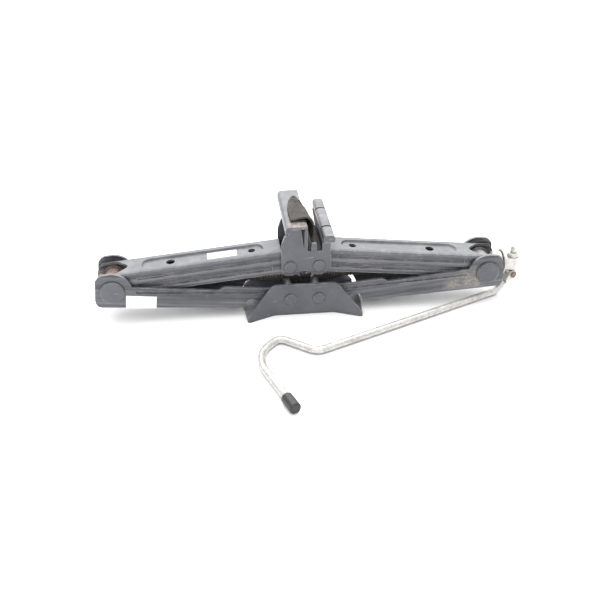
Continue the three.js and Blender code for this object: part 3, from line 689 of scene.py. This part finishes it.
def add_crank_rod():
    points = crank_points()
    add_piece(
        "crank_rod_bar", *tube(points, lambda i: ROD_RADIUS), "crank", "bare_steel", rod_steel, "crank_rod")


# ---- rubber: a torn, curled sheet over the pad's edge ----

# Millimetres, as the crank's numbers above.
PAD_TOP = 98.7
SHEET_ALONG = 60
SHEET_ACROSS = 44
SHEET_FRONT = -10.0
SHEET_LENGTH = 57.0
SHEET_THICK = 1.9
SHEET_MIDDLE = -4.6                  # what the sheet narrows towards at its rear tip
FRONT_CURL = 1.6                     # how far the front edge stands up
# The sheet's section as (x, z) above the pad, in mm: flat, curling over the edge, hanging.
FLAT_SECTION = (
    (-13.0, 0.35), (-9.0, 0.35), (-5.5, 0.4), (-3.0, 0.45),
    (-1.0, 0.45), (0.6, 0.35), (1.8, 0.3), (2.6, 0.2))
HANGING_SECTION = (
    (-13.5, 0.35), (-8.5, 0.5), (-3.0, 1.7), (2.8, 2.3),
    (7.2, -0.6), (9.2, -6.4), (9.0, -13.0), (7.2, -21.0))


def rough_value(x, y, z, seed):
    return noise.noise(Vector((x, y, z + seed)))


def spline(points, t):
    """A point of the smooth curve through the points, t from 0 to 1."""
    place = min(t, 0.9999) * (len(points) - 1)
    i = int(place)
    f = place - i
    a, b, c, d = (Vector(points[min(max(i + k, 0), len(points) - 1)]) for k in (-1, 0, 1, 2))
    square = 2 * a - 5 * b + 4 * c - d
    cube = 3 * b - a - 3 * c + d
    return 0.5 * (2 * b + (c - a) * f + square * f ** 2 + cube * f ** 3)


def sheet_section(u, v):
    """The underside's (x, z): fully hanging at the front, flat at the rear, narrowing to a tip."""
    hang = max(0.0, 1.0 - 1.25 * v) ** 0.7
    section = spline(FLAT_SECTION, u).lerp(spline(HANGING_SECTION, u), hang)
    width = 1.0 - 0.62 * max(0.0, (v - 0.5) / 0.5) ** 1.6
    section.x = SHEET_MIDDLE + (section.x - SHEET_MIDDLE) * width
    section.x += 1.1 * rough_value(0.0, v * 11.0, 0.0, 3.0) * (1.0 - u)
    return section


def sheet_point(u, v, under):
    """A point of the sheet: u from its left edge to its hanging edge, v from front to rear."""
    x, z = sheet_section(u, v)
    ahead = sheet_section(min(1.0, u + 0.01), v) - sheet_section(max(0.0, u - 0.01), v)
    normal = Vector((-ahead.y, ahead.x)).normalized()
    if not under:
        thick = SHEET_THICK + 0.9 * rough_value(u * 5.0, v * 7.0, 0.0, 5.0)
        thick += 0.35 * rough_value(u * 17.0, v * 23.0, 0.0, 15.0)
        x += normal.x * thick
        z += normal.y * thick
    curl = FRONT_CURL * math.exp(-v * 14.0) * max(0.0, math.sin(math.pi * min(1.0, 1.6 * u)))
    y = SHEET_FRONT + SHEET_LENGTH * v
    y += (1.6 * rough_value(u * 5.0, 0.0, 0.0, 40.0) - 4.0 * max(0.0, u - 0.5)) * math.exp(-v * 4.0)
    y -= 26.0 * max(0.0, v - 0.5) * (u - 0.45) ** 2
    return Vector((x, y, PAD_TOP + z + curl))


def add_rubber():
    vertices, faces = [], []
    for under in (False, True):
        for i in range(SHEET_ALONG + 1):
            for j in range(SHEET_ACROSS + 1):
                vertices.append(sheet_point(j / SHEET_ACROSS, i / SHEET_ALONG, under) * MM)
    row = SHEET_ACROSS + 1
    layer = row * (SHEET_ALONG + 1)
    for base in (0, layer):
        for i in range(SHEET_ALONG):
            for j in range(SHEET_ACROSS):
                a = base + i * row + j
                faces.append((a, a + 1, a + row + 1, a + row))
    rim = list(range(SHEET_ACROSS))
    rim += [i * row + SHEET_ACROSS for i in range(SHEET_ALONG)]
    rim += [SHEET_ALONG * row + j for j in range(SHEET_ACROSS, 0, -1)]
    rim += [i * row for i in range(SHEET_ALONG, 0, -1)]
    for a, b in zip(rim, rim[1:] + rim[:1]):
        faces.append((a, b, b + layer, a + layer))
    add_piece("torn_rubber", vertices, faces, "head", "rubber", rubber, "rubber_sheet")


# ---- blank label in the pocket of the upper left arm's web ----

POCKET_FLOOR = 13.6
LABEL_ALONG = (97.0, 127.0)
LABEL_ACROSS = (-6.0, 6.2)
LABEL_LIFT = 0.15
LABEL_THICK = 0.1
LABEL_CELLS = (24, 8)


def add_upper_label():
    turn = Matrix.Translation((-TRUNNION_X, 0.0, TRUNNION_Z)) @ Matrix.Rotation(-ARM_SLOPE, 4, "Y")
    along, across = LABEL_CELLS
    vertices, faces = [], []
    for i in range(along + 1):
        for j in range(across + 1):
            u = LABEL_ALONG[0] + (LABEL_ALONG[1] - LABEL_ALONG[0]) * i / along
            y = LABEL_ACROSS[0] + (LABEL_ACROSS[1] - LABEL_ACROSS[0]) * j / across
            u += 0.25 * rough_value(u * 0.6, y * 0.9, 0.0, 60.0)
            wrinkle = 0.06 * rough_value(u * 0.3, y * 0.4, 0.0, 71.0)
            vertices.append(turn @ (Vector((u, y, POCKET_FLOOR + LABEL_LIFT + wrinkle)) * MM))
    for i in range(along):
        for j in range(across):
            a = i * (across + 1) + j
            faces.append((a, a + across + 1, a + across + 2, a + 1))
    piece = add_piece("label_upper", vertices, faces, "upper_arm_left", "label_paper", paper)
    thick = piece.modifiers.new("thickness", "SOLIDIFY")
    thick.thickness = LABEL_THICK * MM


add_lead_screw()
add_crank_rod()
add_rubber()
add_upper_label()

EDGE_RADIUS = 0.45 * MM
for name, finish in FINISHES.items():
    dress(name, finish)
    soften(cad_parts[name], EDGE_RADIUS)
